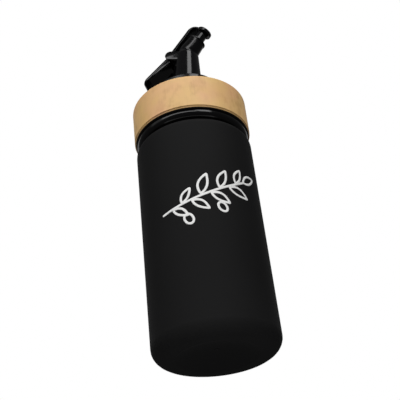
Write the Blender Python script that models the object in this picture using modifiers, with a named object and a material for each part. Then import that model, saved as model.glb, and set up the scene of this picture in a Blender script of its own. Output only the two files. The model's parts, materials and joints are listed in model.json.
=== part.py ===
"""Oil cruet: a straight black bottle, a lid with a bamboo ring, and a pourer with a flip lever.

Metres, +Z up. The origin is the centre of the base, on the surface that the bottle stands on,
and the nozzle leans towards +X.
"""

import math

import bmesh
import bpy
from mathutils import Matrix, Vector

# Driving dimensions
GAP = 0.0003
TURN_STEPS = 72
SMALL_TURN_STEPS = 40
MERGE = 0.00001

BODY_RADIUS = 0.0330
BODY_TOP = 0.1255
BASE_ROUNDING = 0.0067
SHOULDER_ROUNDING = 0.0040
BASE_RING_INNER = 0.0215
BASE_DISH_DEPTH = 0.0042
BASE_DISH_STEPS = 8

COLLAR_FOOT_RADIUS = 0.0285
BEAD_RADIUS = 0.0034
BEAD_CENTRE_RADIUS = 0.0288
BEAD_CENTRE_HEIGHT = 0.1298
COLLAR_TOP = 0.1314

RING_RADIUS = 0.0336
RING_BORE = 0.0293
RING_BOTTOM = COLLAR_TOP + GAP
RING_TOP = 0.1540
RING_FOOT_CHAMFER = 0.0011
RING_TOP_ROUNDING = 0.0005

CORE_RADIUS = RING_BORE - GAP
CORE_TOP = RING_TOP - 0.0008
TURRET_RADIUS = 0.0203
TURRET_TOP = 0.1683
TURRET_ROUNDING = 0.0007
TURRET_FILLET = 0.0024

FLANGE_RADIUS = 0.0135
FLANGE_BOTTOM = TURRET_TOP + GAP
FLANGE_THICKNESS = 0.0016
FLANGE_ROUNDING = 0.0005

# The pourer's tube leans a little, up to the point where the nozzle bends away from it.
TUBE_FOOT = Vector((0.0, 0.0, 0.1695))
BEND = Vector((0.0030, 0.0, 0.2005))
TUBE_FOOT_RADIUS = 0.0098
TUBE_TOP_RADIUS = 0.0074
TUBE_TOP_ROUNDING = 0.0014

# Distances along the nozzle are counted from the bend.
NOZZLE_LEAN = math.radians(40.0)
SLEEVE_START = -0.0020
SLEEVE_END = 0.0119
SLEEVE_START_RADIUS = 0.0062
SLEEVE_END_RADIUS = 0.0056
DRIP_LIP_RADIUS = 0.0059
DRIP_LIP_WIDTH = 0.0009
TIP_RADIUS = 0.0036
TIP_END = 0.0180
MOUTH_RADIUS = 0.0026
MOUTH_DEPTH = 0.0120

# The lever turns on two stubs in the ears behind the tube.
PIVOT = Vector((-0.0067, 0.0, 0.1982))
EAR_RADIUS = 0.0031
EAR_REACH = 0.0090
EAR_STEPS = 16
EAR_DROOP = math.radians(19.0)
EAR_INNER = 0.0043
EAR_OUTER = 0.0064
STUB_RADIUS = 0.0011
STUB_DEPTH = 0.0012
STUB_STEPS = 24
SOCKET_LENGTH = 0.0030
HUB_RADIUS = 0.0015

ARM_HALF_WIDTH = 0.0040
ARM_OUTER = 0.0084
ARM_THICKNESS = 0.0017
ARM_TOP_THICKNESS = 0.0014
ARM_CORNER = 0.0048
CAP_START = TIP_END + 0.0004
CAP_THICKNESS = 0.0022
CAP_RADIUS = 0.0049
CAP_OFFSET = 0.0004
CAP_ROUNDING = 0.0005

TAB_LEAN = math.radians(50.0)
TAB_DROP = 0.0012
TAB_THICKNESS = 0.0016
TAB_START = 0.0037
TAB_LENGTH = 0.0252
TAB_HALF_WIDTH = 0.0076
TAB_CORNER = 0.0036
RIB_WIDTH = 0.0011
RIB_DEPTH = 0.0022
RIB_LENGTH = 0.0170
RIB_INSET = 0.0002
RIB_SINK = 0.0004

# The block that joins the arm, the hub and the tab: distances down the tab, and depths.
NECK_OUTLINE = (
    (0.0010, -0.0020),
    (0.0085, 0.0015),
    (0.0085, 0.0024),
    (0.0062, 0.0025),
    (0.0006, 0.0013),
    (-0.0011, 0.0003),
)
NECK_RISE = 0.0060
NECK_INSET = 0.0002


def principled(name, colour, roughness, coat=0.0):
    material = bpy.data.materials.new(name)
    material.use_nodes = True
    shader = material.node_tree.nodes["Principled BSDF"]
    shader.inputs["Base Color"].default_value = (*colour, 1.0)
    shader.inputs["Roughness"].default_value = roughness
    shader.inputs["Metallic"].default_value = 0.0
    shader.inputs["Coat Weight"].default_value = coat
    return material


def new_collection(name):
    collection = bpy.data.collections.new(name)
    bpy.context.scene.collection.children.link(collection)
    return collection


def new_object(name, data, collection, material=None):
    obj = bpy.data.objects.new(name, data)
    collection.objects.link(obj)
    if material:
        data.materials.append(material)
    if collection.hide_render:
        obj.hide_render = True
        obj.display_type = "WIRE"
    return obj


def arc(centre, radius, start, end, count=6):
    """Points on an arc, from one angle in degrees to another: 0 is outward and 90 is up."""
    angles = [math.radians(start + (end - start) * i / count) for i in range(count + 1)]
    return [(centre[0] + radius * math.cos(a), centre[1] + radius * math.sin(a)) for a in angles]


def turned(name, profile, collection, material=None, steps=TURN_STEPS, closed=False):
    """A solid turned about its own Z axis, from (radius, height) points down its outer side."""
    edges = [(i, i + 1) for i in range(len(profile) - 1)]
    if closed:
        edges.append((len(profile) - 1, 0))
    mesh = bpy.data.meshes.new(name)
    mesh.from_pydata([(r, 0.0, z) for r, z in profile], edges, [])
    obj = new_object(name, mesh, collection, material)
    screw = obj.modifiers.new("Turn", "SCREW")
    screw.axis = "Z"
    screw.steps = steps
    screw.render_steps = steps
    screw.use_smooth_shade = True
    screw.use_merge_vertices = True
    screw.merge_threshold = MERGE
    return obj


def plate(name, outline, low, high, collection, origin=Vector()):
    """A flat plate from (x, z) points, between two distances along Y. Its origin can be chosen."""
    curve = bpy.data.curves.new(name, "CURVE")
    curve.dimensions = "2D"
    curve.fill_mode = "BOTH"
    curve.extrude = (high - low) / 2
    spline = curve.splines.new("POLY")
    spline.points.add(len(outline) - 1)
    for point, (x, z) in zip(spline.points, outline):
        point.co = (x - origin.x, z - origin.z, 0.0, 1.0)
    spline.use_cyclic_u = True
    guide = bpy.data.objects.new(name + "_guide", curve)
    collection.objects.link(guide)
    upright = Matrix.Rotation(math.radians(90.0), 4, "X")
    middle = Vector((0.0, (low + high) / 2, 0.0))
    guide.matrix_world = Matrix.Translation(origin + middle) @ upright
    bpy.context.view_layer.update()
    graph = bpy.context.evaluated_depsgraph_get()
    mesh = bpy.data.meshes.new_from_object(guide.evaluated_get(graph))
    shape = bmesh.new()
    shape.from_mesh(mesh)
    bmesh.ops.remove_doubles(shape, verts=shape.verts, dist=MERGE)
    bmesh.ops.recalc_face_normals(shape, faces=shape.faces)
    shape.to_mesh(mesh)
    shape.free()
    obj = new_object(name, mesh, collection)
    obj.matrix_world = guide.matrix_world
    bpy.data.objects.remove(guide)
    return obj


def rod(name, centre, radius, length, collection, steps=SMALL_TURN_STEPS):
    """A round rod along Y."""
    shape = bmesh.new()
    bmesh.ops.create_cone(
        shape, cap_ends=True, segments=steps, radius1=radius, radius2=radius, depth=length
    )
    mesh = bpy.data.meshes.new(name)
    shape.to_mesh(mesh)
    shape.free()
    obj = new_object(name, mesh, collection)
    obj.location = centre
    obj.rotation_euler.x = math.radians(90.0)
    return obj


def combine(target, other, operation="UNION"):
    boolean = target.modifiers.new(other.name, "BOOLEAN")
    boolean.operation = operation
    boolean.object = other


def along(origin, lean, forward, outward):
    """A point (x, z) at a distance along a line leaning from the vertical, and off it to +X."""
    x = origin.x + forward * math.sin(lean) + outward * math.cos(lean)
    z = origin.z + forward * math.cos(lean) - outward * math.sin(lean)
    return x, z


def make_body(collection, material):
    shoulder = (BODY_RADIUS - SHOULDER_ROUNDING, BODY_TOP - SHOULDER_ROUNDING)
    heel = (BODY_RADIUS - BASE_ROUNDING, BASE_ROUNDING)
    dish = []
    for i in range(BASE_DISH_STEPS + 1):
        share = 1 - i / BASE_DISH_STEPS
        dish.append((BASE_RING_INNER * share, BASE_DISH_DEPTH * (1 - share * share)))
    profile = [(0.0, BODY_TOP)]
    profile += arc(shoulder, SHOULDER_ROUNDING, 90, 0)
    profile += arc(heel, BASE_ROUNDING, 0, -90, 8)
    profile += dish
    return turned("bottle_body", profile, collection, material)


def make_lid_core(collection, material):
    """The black plastic lid: a glossy bead under the ring, its core, and the turret above."""
    bead = (BEAD_CENTRE_RADIUS, BEAD_CENTRE_HEIGHT)
    bead_top = math.degrees(math.asin((COLLAR_TOP - BEAD_CENTRE_HEIGHT) / BEAD_RADIUS))
    turret_edge = (TURRET_RADIUS - TURRET_ROUNDING, TURRET_TOP - TURRET_ROUNDING)
    turret_foot = (TURRET_RADIUS + TURRET_FILLET, CORE_TOP + TURRET_FILLET)
    profile = [(0.0, TURRET_TOP)]
    profile += arc(turret_edge, TURRET_ROUNDING, 90, 0, 4)
    profile += arc(turret_foot, TURRET_FILLET, 180, 270, 5)
    profile += [(CORE_RADIUS, CORE_TOP), (CORE_RADIUS, COLLAR_TOP)]
    profile += arc(bead, BEAD_RADIUS, bead_top, -90, 9)
    profile += [(COLLAR_FOOT_RADIUS, BODY_TOP + GAP), (0.0, BODY_TOP + GAP)]
    return turned("lid_core", profile, collection, material)


def make_bamboo_ring(collection, material):
    chamfer = RING_FOOT_CHAMFER
    crown = (RING_RADIUS - RING_TOP_ROUNDING, RING_TOP - RING_TOP_ROUNDING)
    profile = [(RING_BORE, RING_TOP)]
    profile += arc(crown, RING_TOP_ROUNDING, 90, 0, 3)
    profile += [(RING_RADIUS, RING_BOTTOM + chamfer), (RING_RADIUS - chamfer, RING_BOTTOM)]
    profile += [(RING_BORE, RING_BOTTOM)]
    return turned("bamboo_ring", profile, collection, material, closed=True)


def make_flange(collection, material):
    top = FLANGE_BOTTOM + FLANGE_THICKNESS
    edge = FLANGE_RADIUS - FLANGE_ROUNDING
    profile = [(0.0, top)]
    profile += arc((edge, top - FLANGE_ROUNDING), FLANGE_ROUNDING, 90, 0, 3)
    profile += arc((edge, FLANGE_BOTTOM + FLANGE_ROUNDING), FLANGE_ROUNDING, 0, -90, 3)
    profile += [(0.0, FLANGE_BOTTOM)]
    return turned("pour_spout", profile, collection, material)


def make_tube(helpers):
    axis = BEND - TUBE_FOOT
    length = axis.length
    top = (TUBE_TOP_RADIUS - TUBE_TOP_ROUNDING, length - TUBE_TOP_ROUNDING)
    profile = [(0.0, length)]
    profile += arc(top, TUBE_TOP_ROUNDING, 90, 0, 4)
    profile += [(TUBE_FOOT_RADIUS, 0.0), (0.0, 0.0)]
    tube = turned("tube", profile, helpers)
    tube.location = TUBE_FOOT
    tube.rotation_euler.y = math.atan2(axis.x, axis.z)
    return tube


def make_nozzle(helpers):
    """The nozzle's sleeve with its drip lip, and the narrower tip with the mouth in it."""
    lip_foot = SLEEVE_END - DRIP_LIP_WIDTH
    profile = [
        (0.0, TIP_END - MOUTH_DEPTH),
        (MOUTH_RADIUS, TIP_END - MOUTH_DEPTH),
        (MOUTH_RADIUS, TIP_END),
        (TIP_RADIUS, TIP_END),
        (TIP_RADIUS, SLEEVE_END),
        (DRIP_LIP_RADIUS, SLEEVE_END),
        (DRIP_LIP_RADIUS, lip_foot),
        (SLEEVE_END_RADIUS, lip_foot - DRIP_LIP_WIDTH),
        (SLEEVE_START_RADIUS, SLEEVE_START),
        (0.0, SLEEVE_START),
    ]
    nozzle = turned("nozzle", profile, helpers, steps=SMALL_TURN_STEPS)
    nozzle.location = BEND
    nozzle.rotation_euler.y = NOZZLE_LEAN
    return nozzle


def make_ear(name, side, helpers):
    """A bar with a round end about the pivot, whose other end is in the tube."""
    lean = math.radians(90.0) + EAR_DROOP
    outline = []
    for i in range(EAR_STEPS + 1):
        turn = math.radians(180.0 * i / EAR_STEPS)
        outline.append(
            along(PIVOT, lean, -EAR_RADIUS * math.sin(turn), EAR_RADIUS * math.cos(turn))
        )
    outline.append(along(PIVOT, lean, EAR_REACH, -EAR_RADIUS))
    outline.append(along(PIVOT, lean, EAR_REACH, EAR_RADIUS))
    low, high = sorted((side * EAR_INNER, side * EAR_OUTER))
    return plate(name, outline, low, high, helpers)


def make_spout(parts, helpers, material):
    spout = make_flange(parts, material)
    combine(spout, make_tube(helpers))
    combine(spout, make_nozzle(helpers))
    for name, side in (("ear_near", -1), ("ear_far", 1)):
        combine(spout, make_ear(name, side, helpers))
    socket_end = EAR_INNER + STUB_DEPTH + GAP
    for name, side in (("socket_near", -1), ("socket_far", 1)):
        centre = PIVOT + Vector((0.0, side * (socket_end - SOCKET_LENGTH / 2), 0.0))
        socket = rod(name, centre, STUB_RADIUS + GAP, SOCKET_LENGTH, helpers, STUB_STEPS)
        combine(spout, socket, "DIFFERENCE")
    return spout


def arm_outline():
    """The arm's side view: up the nozzle's back, round the corner and over the tip."""
    inner = ARM_OUTER - ARM_THICKNESS
    cap_top = CAP_START + ARM_TOP_THICKNESS
    pivot_height = (PIVOT - BEND).dot(Vector((math.sin(NOZZLE_LEAN), 0.0, math.cos(NOZZLE_LEAN))))
    corner = (-(ARM_OUTER - ARM_CORNER), cap_top - ARM_CORNER)
    points = [(-ARM_OUTER, pivot_height - HUB_RADIUS)]
    points += arc(corner, ARM_CORNER, 180, 90, 8)
    points += [(0.0, cap_top), (0.0, CAP_START)]
    fillet = ARM_CORNER - ARM_THICKNESS
    points += arc((-(inner - fillet), CAP_START - fillet), fillet, 90, 180, 6)
    points += [(-inner, pivot_height - HUB_RADIUS)]
    return [along(BEND, NOZZLE_LEAN, height, across) for across, height in points]


def tab_point(distance, depth):
    """A point (x, z) at a distance from the pivot down the tab, and below the pivot's line."""
    lean = TAB_LEAN
    x = PIVOT.x - distance * math.sin(lean) + depth * math.cos(lean)
    z = PIVOT.z - distance * math.cos(lean) - depth * math.sin(lean)
    return x, z


def make_cap(helpers):
    """The round cap that closes the nozzle's tip."""
    edge = CAP_RADIUS - CAP_ROUNDING
    top = CAP_START + CAP_THICKNESS
    profile = [(0.0, top)]
    profile += arc((edge, top - CAP_ROUNDING), CAP_ROUNDING, 90, 0, 3)
    profile += [(CAP_RADIUS, CAP_START), (0.0, CAP_START)]
    cap = turned("cap", profile, helpers, steps=SMALL_TURN_STEPS)
    x, z = along(BEND, NOZZLE_LEAN, 0.0, CAP_OFFSET)
    cap.location = (x, 0.0, z)
    cap.rotation_euler.y = NOZZLE_LEAN
    return cap


def make_tab(helpers):
    """The broad thumb tab, flat with a rounded end."""
    corner = (TAB_LENGTH - TAB_CORNER, TAB_HALF_WIDTH - TAB_CORNER)
    outline = [(TAB_START, -TAB_HALF_WIDTH)]
    outline += [(u, -v) for u, v in reversed(arc(corner, TAB_CORNER, 0, 90, 6))]
    outline += arc(corner, TAB_CORNER, 0, 90, 6)
    outline += [(TAB_START, TAB_HALF_WIDTH)]
    tab = plate("tab", outline, TAB_DROP, TAB_DROP + TAB_THICKNESS, helpers)
    x_axis = Vector((-math.sin(TAB_LEAN), 0.0, -math.cos(TAB_LEAN)))
    y_axis = Vector((math.cos(TAB_LEAN), 0.0, -math.sin(TAB_LEAN)))
    frame = Matrix((x_axis, y_axis, x_axis.cross(y_axis))).transposed().to_4x4()
    tab.matrix_world = Matrix.Translation(PIVOT) @ frame @ tab.matrix_world
    return tab


def make_lever(parts, helpers, material):
    """Arm, cap, hub, tab and stubs in one piece, with its origin on the hinge's axis."""
    width = ARM_HALF_WIDTH
    arm = plate("flip_lever", arm_outline(), -width, width, parts, PIVOT)
    arm.data.materials.append(material)
    combine(arm, rod("hub", PIVOT, HUB_RADIUS, 2 * width - GAP, helpers))
    neck = [along(BEND, NOZZLE_LEAN, -NECK_RISE, GAP - ARM_OUTER)]
    neck += [tab_point(distance, depth) for distance, depth in NECK_OUTLINE]
    combine(arm, plate("neck", neck, NECK_INSET - width, width - NECK_INSET, helpers))
    combine(arm, make_tab(helpers))
    under_tab = TAB_DROP + TAB_THICKNESS
    rib_start = TAB_START + RIB_INSET
    rib = [
        tab_point(rib_start, TAB_DROP + RIB_SINK),
        tab_point(rib_start + RIB_LENGTH, TAB_DROP + RIB_SINK),
        tab_point(rib_start + RIB_LENGTH, under_tab + RIB_INSET),
        tab_point(rib_start, under_tab + RIB_DEPTH),
    ]
    outer = TAB_HALF_WIDTH - RIB_INSET
    combine(arm, plate("rib_near", rib, -outer, RIB_WIDTH - outer, helpers))
    combine(arm, plate("rib_far", rib, outer - RIB_WIDTH, outer, helpers))
    combine(arm, make_cap(helpers))
    reach = 2 * (EAR_INNER + STUB_DEPTH)
    combine(arm, rod("stubs", PIVOT, STUB_RADIUS, reach, helpers, STUB_STEPS))
    return arm


def main():
    for obj in list(bpy.data.objects):
        bpy.data.objects.remove(obj)
    parts = new_collection("oil_cruet")
    helpers = new_collection("cutters_and_joined_shapes")
    helpers.hide_render = True
    matte_black = principled("matte_black_coating", (0.011, 0.011, 0.012), 0.55)
    gloss_black = principled("gloss_black_plastic", (0.008, 0.008, 0.009), 0.22, 0.3)
    bamboo = principled("bamboo", (0.62, 0.44, 0.21), 0.50)
    make_body(parts, matte_black)
    make_lid_core(parts, gloss_black)
    make_bamboo_ring(parts, bamboo)
    make_spout(parts, helpers, gloss_black)
    make_lever(parts, helpers, gloss_black)


main()
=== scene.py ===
"""The looks of the oil cruet: a straight matte black bottle, a lid with a bamboo ring and a pourer.

The file is laid out as an add-on and is run as a script. Lengths are in metres, +Z is up, and the
nozzle leans towards +X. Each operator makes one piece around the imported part.
"""
import json
import math

import bmesh
import bpy
from bpy.props import (
    FloatProperty, FloatVectorProperty, IntProperty, PointerProperty,
)
from bpy.types import Operator, Panel, PropertyGroup
from mathutils import Matrix, Vector


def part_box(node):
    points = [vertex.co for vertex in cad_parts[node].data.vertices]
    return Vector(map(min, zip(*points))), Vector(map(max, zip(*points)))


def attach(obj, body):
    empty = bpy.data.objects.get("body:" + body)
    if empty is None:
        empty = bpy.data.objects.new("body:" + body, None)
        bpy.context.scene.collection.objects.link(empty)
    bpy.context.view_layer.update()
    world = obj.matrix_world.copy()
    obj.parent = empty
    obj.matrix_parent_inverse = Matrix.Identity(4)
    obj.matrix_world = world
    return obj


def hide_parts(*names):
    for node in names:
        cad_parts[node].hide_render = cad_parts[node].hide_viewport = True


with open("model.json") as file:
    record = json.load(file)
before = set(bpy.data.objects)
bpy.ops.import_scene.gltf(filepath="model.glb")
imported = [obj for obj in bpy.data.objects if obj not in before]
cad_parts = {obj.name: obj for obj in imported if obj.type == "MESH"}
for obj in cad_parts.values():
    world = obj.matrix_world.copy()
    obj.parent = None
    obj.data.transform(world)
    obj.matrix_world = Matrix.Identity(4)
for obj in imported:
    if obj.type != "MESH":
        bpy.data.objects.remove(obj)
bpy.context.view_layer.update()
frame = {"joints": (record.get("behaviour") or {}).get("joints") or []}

bl_info = {
    "name": "Oil cruet",
    "version": (1, 0, 0),
    "blender": (4, 5, 0),
    "location": "3D View > Sidebar > Cruet",
    "description": "Makes the pieces of an oil cruet with a bamboo ring and a flip lever pourer",
    "category": "Object",
}

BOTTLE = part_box("bottle_body")
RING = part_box("bamboo_ring")
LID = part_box("lid_core")

TURN_STEPS = 160
ARC_STEPS = 7
EDGE_SUPPORT = 0.00015
MERGE = 0.000002
WORK_SCALE = 1000.0
CREASE = math.radians(32.0)
BEVEL_FROM = math.radians(50.0)
BEVEL_STEPS = 3

BEAD_STEPS = 28
BEND_STEPS = 16
EAR_STEPS = 28
EAR_REACH = 0.0092
STUB_ROOM = 0.0003
CAP_GAP = 0.0004
RIB_WIDTH = 0.0011
FOOT_GAP = 0.00001
STEM_STEPS = 40
LEAF_STEPS = 24
FRUIT_STEPS = 28
# Across, up, half length, half width and turn of each olive on the sprig.
FRUITS = ((-0.0105, -0.0150, 0.0031, 0.0022, -1.1), (0.0075, -0.0095, 0.0029, 0.0021, -1.0))

STRIP_WIDTH = 0.0062
STRIP_DEPTH = 0.0190
GRAIN_TURN = 0.42

WHITE = (1.0, 1.0, 1.0, 1.0)
FLOOR_RADIUS = 1.6
FLOOR_HEIGHT = -0.0004
FLOOR_FADE = (0.35, 0.90)

BODY_BOTTLE = "bottle"
BODY_LEVER = "lever"


# Properties

def length(label, default, text):
    return FloatProperty(
        name=label, description=text, default=default, precision=5, unit="LENGTH", min=0.0
    )


def angle(label, degrees, text):
    return FloatProperty(
        name=label, description=text, default=math.radians(degrees), subtype="ANGLE"
    )


def colour(label, default, text):
    return FloatVectorProperty(
        name=label, description=text, default=default, size=3, subtype="COLOR", min=0.0, max=1.0
    )


def factor(label, default, text, most=1.0):
    return FloatProperty(
        name=label, description=text, default=default, subtype="FACTOR", min=0.0, max=most
    )


def strength(label, default, text):
    return FloatProperty(name=label, description=text, default=default, min=0.0)


class CruetBottle(PropertyGroup):
    radius: length("Radius", BOTTLE[1].x, "Radius of the straight wall")
    top: length("Top", BOTTLE[1].z, "Height of the shoulder's flat top")
    heel: length("Heel rounding", 0.0067, "Rounding between wall and base")
    shoulder: length("Shoulder rounding", 0.0040, "Rounding at the top of the wall")
    ring_inner: length("Base ring", 0.0215, "Inner radius of the flat ring that it stands on")
    dish: length("Base dish", 0.0042, "Depth of the hollow under the base")
    mark: length("Centre mark", 0.0016, "Radius of the small pit in the middle of the base")


class CruetLid(PropertyGroup):
    bead_radius: length("Bead thickness", 0.0034, "Radius of the glossy bead's cross-section")
    bead_reach: length("Bead reach", 0.0288, "Distance from the axis to the bead's centre")
    bead_height: length("Bead height", 0.1298, "Height of the bead's centre")
    foot_radius: length("Foot radius", 0.0285, "Radius of the lid where it meets the shoulder")
    collar_top: length("Collar top", 0.1314, "Height at which the bead meets the bamboo ring")
    core_radius: length("Core radius", 0.0290, "Radius of the part inside the bamboo ring")
    core_top: length("Core top", 0.1532, "Height of the plate inside the bamboo ring")
    turret_radius: length("Turret radius", 0.0203, "Radius of the turret that carries the pourer")
    turret_top: length("Turret top", LID[1].z, "Height of the turret")


class CruetRing(PropertyGroup):
    radius: length("Radius", RING[1].x, "Outer radius of the bamboo ring")
    bore: length("Bore", 0.0293, "Inner radius of the bamboo ring")
    bottom: length("Bottom", RING[0].z, "Height of its lower face")
    top: length("Top", RING[1].z, "Height of its upper face")
    lip: length("Foot lip", 0.0008, "Height of the thin lip turned along the lower edge")
    groove: length("Foot groove", 0.0004, "Width and depth of the groove above the lip")


class CruetPourer(PropertyGroup):
    disc_radius: length("Disc radius", 0.0135, "Radius of the disc on the turret")
    disc_bottom: length("Disc bottom", 0.1686, "Height of the disc's lower face")
    disc_thickness: length("Disc thickness", 0.0016, "Thickness of the disc")
    foot_radius: length("Tube foot", 0.0098, "Radius of the tube where it leaves the disc")
    neck_radius: length("Tube top", 0.0074, "Radius of the tube below the bend")
    bend_x: length("Bend offset", 0.0030, "Distance of the bend from the bottle's axis")
    bend_z: length("Bend height", 0.2005, "Height at which the nozzle bends away")
    bend_round: length("Bend radius", 0.0084, "Radius of the bend's centreline")
    nozzle_lean: angle("Nozzle lean", 40.0, "Lean of the nozzle from the vertical")
    sleeve_start: length("Sleeve start", 0.0062, "Radius of the nozzle's sleeve at the bend")
    sleeve_end: length("Sleeve end", 0.0056, "Radius of the nozzle's sleeve below its lip")
    sleeve_length: length("Sleeve length", 0.0119, "Length of the sleeve from the bend")
    lip_radius: length("Drip lip", 0.0059, "Radius of the lip at the sleeve's end")
    tip_radius: length("Tip radius", 0.0036, "Radius of the nozzle's tip")
    tip_length: length("Tip length", 0.0180, "Length of the nozzle from the bend to its mouth")
    mouth_radius: length("Mouth radius", 0.0026, "Radius of the mouth")
    mouth_depth: length("Mouth depth", 0.0120, "Depth of the mouth's bore")
    ear_radius: length("Ear radius", 0.0031, "Radius of the ears' round ends")
    ear_inner: length("Ear inner face", 0.0043, "Distance of the ears' inner faces from the middle")
    ear_outer: length("Ear outer face", 0.0064, "Distance of the ears' outer faces from the middle")
    ear_droop: angle("Ear droop", 19.0, "Slope of the ears towards the tube")


class CruetLever(PropertyGroup):
    arm_half_width: length("Arm half width", 0.0040, "Half of the arm's width")
    arm_outer: length("Arm outer face", 0.0084, "Distance of the arm's back from the nozzle's axis")
    arm_thickness: length("Arm thickness", 0.0017, "Thickness of the arm behind the nozzle")
    arm_top: length("Arm top", 0.0014, "Thickness of the arm over the nozzle's tip")
    arm_corner: length("Arm corner", 0.0048, "Rounding of the arm's corner")
    cap_radius: length("Cap radius", 0.0049, "Radius of the cap over the mouth")
    cap_thickness: length("Cap thickness", 0.0022, "Thickness of the cap")
    cap_offset: length("Cap offset", 0.0004, "Offset of the cap towards the front")
    hub_radius: length("Hub radius", 0.0015, "Radius of the hub between the ears")
    stub_radius: length("Stub radius", 0.0011, "Radius of the stubs that turn in the ears")
    tab_lean: angle("Tab lean", 50.0, "Lean of the thumb tab from the vertical")
    tab_drop: length("Tab drop", 0.0012, "Depth of the tab's upper face below the hinge")
    tab_thickness: length("Tab thickness", 0.0016, "Thickness of the thumb tab")
    tab_start: length("Tab start", 0.0037, "Distance of the tab's root from the hinge")
    tab_length: length("Tab length", 0.0252, "Distance of the tab's end from the hinge")
    tab_half_width: length("Tab half width", 0.0076, "Half of the tab's width")
    tab_corner: length("Tab corner", 0.0036, "Rounding of the tab's corners")
    rib_depth: length("Rib depth", 0.0022, "Depth of the ribs under the tab")


class CruetSprig(PropertyGroup):
    bearing: angle("Bearing", 19.3, "Turn of the sprig's middle from the front")
    height: length("Height", 0.0765, "Height of the sprig's middle")
    stroke: length("Stroke", 0.0013, "Width of the painted lines")
    ink: length("Ink thickness", 0.00009, "How far the ink stands off the bottle")
    leaves: IntProperty(
        name="Leaves", description="Places along the stem, each with a leaf", default=10, min=2
    )
    leaf_length: length("Leaf length", 0.0125, "Length of a leaf in the middle of the sprig")
    leaf_spread: angle("Leaf spread", 47.0, "Angle between a leaf and the stem")
    seed: IntProperty(name="Seed", description="Seed of the leaves' small differences", default=7)


class CruetFinish(PropertyGroup):
    coating: colour("Coating", (0.0066, 0.0066, 0.0068), "Matte coating of the bottle")
    coating_rough: factor("Coating roughness", 0.72, "Roughness of the matte coating")
    plastic: colour("Plastic", (0.0022, 0.0022, 0.0025), "Moulded black plastic")
    plastic_rough: factor("Plastic roughness", 0.14, "Roughness of the moulded plastic")
    bamboo_light: colour("Bamboo light", (0.708, 0.450, 0.186), "Light fibres of the bamboo")
    bamboo_dark: colour("Bamboo dark", (0.500, 0.280, 0.098), "Dark fibres of the bamboo")
    bamboo_warm: colour("Bamboo warm", (0.74, 0.395, 0.215), "Pinkish patches of the bamboo")
    bamboo_gold: colour("Bamboo gold", (0.72, 0.475, 0.150), "Yellow patches of the bamboo")
    # Painted shade: mixed into the lowest part of the ring, along its foot lip, as if that edge
    # were shaded.
    bamboo_foot: colour("Bamboo foot", (0.22, 0.12, 0.045), "Darker lip along the ring's foot")
    # Painted shade: nearly black, for the ring's lower face, standing in for the shadow there.
    bamboo_under: colour("Bamboo underside", (0.006, 0.004, 0.003), "Dark underside of the ring")
    ink: colour("Ink", (0.86, 0.86, 0.85), "Painted sprig")


class CruetStudio(PropertyGroup):
    camera_distance: length("Camera distance", 0.35987, "Distance from the bottle's axis")
    camera_drop: length("Camera drop", 0.13619, "How far the camera is below the base")
    camera_bearing: angle("Camera bearing", 12.0, "Place of the camera round the bottle")
    aim_bearing: angle("Aim bearing", 11.9528, "Direction in which the camera looks")
    aim_tilt: angle("Aim tilt", 32.4001, "How far the camera looks up")
    aim_roll: angle("Aim roll", -6.7874, "Roll of the camera")
    lens: FloatProperty(
        name="Lens", description="Focal length on a 36 mm wide sensor", default=68.96,
        subtype="DISTANCE_CAMERA",
    )
    key: strength("Key light", 2.6, "Power of the softbox on the right in front, in watts")
    fill: strength("Fill light", 0.66, "Power of the wide soft light on the left, in watts")
    front: strength("Front light", 2.3, "Power of the wide strip light in front, in watts")
    overhead: strength("Overhead light", 4.0, "Power of the soft light overhead, in watts")
    back: strength("Back light", 0.6, "Power of each soft light behind, in watts")
    base: strength("Base light", 0.115, "Power of the soft light under the base, in watts")
    ambient: factor("Ambient", 0.12, "Brightness of the studio round the bottle")
    floor: colour("Floor", (0.90, 0.90, 0.90), "Floor under the bottle")


# Node trees

class Graph:
    """Adds nodes to a tree and links them: an input is given a number, a socket or a node."""

    def __init__(self, tree):
        self.tree = tree

    def add(self, kind, inputs=None, **settings):
        node = self.tree.nodes.new(kind)
        for name, value in settings.items():
            setattr(node, name, value)
        for key, value in (inputs or {}).items():
            if isinstance(value, bpy.types.Node):
                value = next(s for s in value.outputs if s.enabled)
            if isinstance(value, bpy.types.NodeSocket):
                self.tree.links.new(value, node.inputs[key])
            else:
                node.inputs[key].default_value = value
        return node

    def math(self, operation, first, second=0.0, third=0.0):
        inputs = {0: first, 1: second, 2: third}
        return self.add("ShaderNodeMath", inputs, operation=operation)

    def soft_step(self, value, start, end):
        """One before start, nought after end and a soft change between them."""
        inputs = {"Value": value, "From Min": start, "From Max": end, "To Min": 1.0, "To Max": 0.0}
        return self.add("ShaderNodeMapRange", inputs, interpolation_type="SMOOTHSTEP")

    def vector(self, operation, first, second=(0.0, 0.0, 0.0)):
        return self.add("ShaderNodeVectorMath", {0: first, 1: second}, operation=operation)

    def length(self, vector):
        return self.vector("LENGTH", vector).outputs["Value"]

    def rest(self, value):
        """One less the value."""
        return self.math("SUBTRACT", 1.0, value)

    def below(self, height, level, sharpness):
        """One well below a level and nought above it."""
        share = self.math("MULTIPLY", self.math("SUBTRACT", level, height), sharpness)
        share.use_clamp = True
        return share

    def mix(self, share, first, second):
        """A colour between two others."""
        inputs = {"Factor": share, 6: first, 7: second}
        return self.add("ShaderNodeMix", inputs, data_type="RGBA").outputs[2]

    def join(self, pieces):
        joined = self.add("GeometryNodeJoinGeometry")
        for piece in pieces:
            self.tree.links.new(piece.outputs[0], joined.inputs[0])
        return joined


def geometry_tree(name, sockets):
    """A new Geometry Nodes tree with named inputs, with its graph and its input node."""
    tree = bpy.data.node_groups.new(name, "GeometryNodeTree")
    tree.interface.new_socket("Geometry", in_out="INPUT", socket_type="NodeSocketGeometry")
    for label, kind in sockets:
        tree.interface.new_socket(label, in_out="INPUT", socket_type="NodeSocket" + kind)
    tree.interface.new_socket("Geometry", in_out="OUTPUT", socket_type="NodeSocketGeometry")
    graph = Graph(tree)
    return tree, graph, graph.add("NodeGroupInput")


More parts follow.
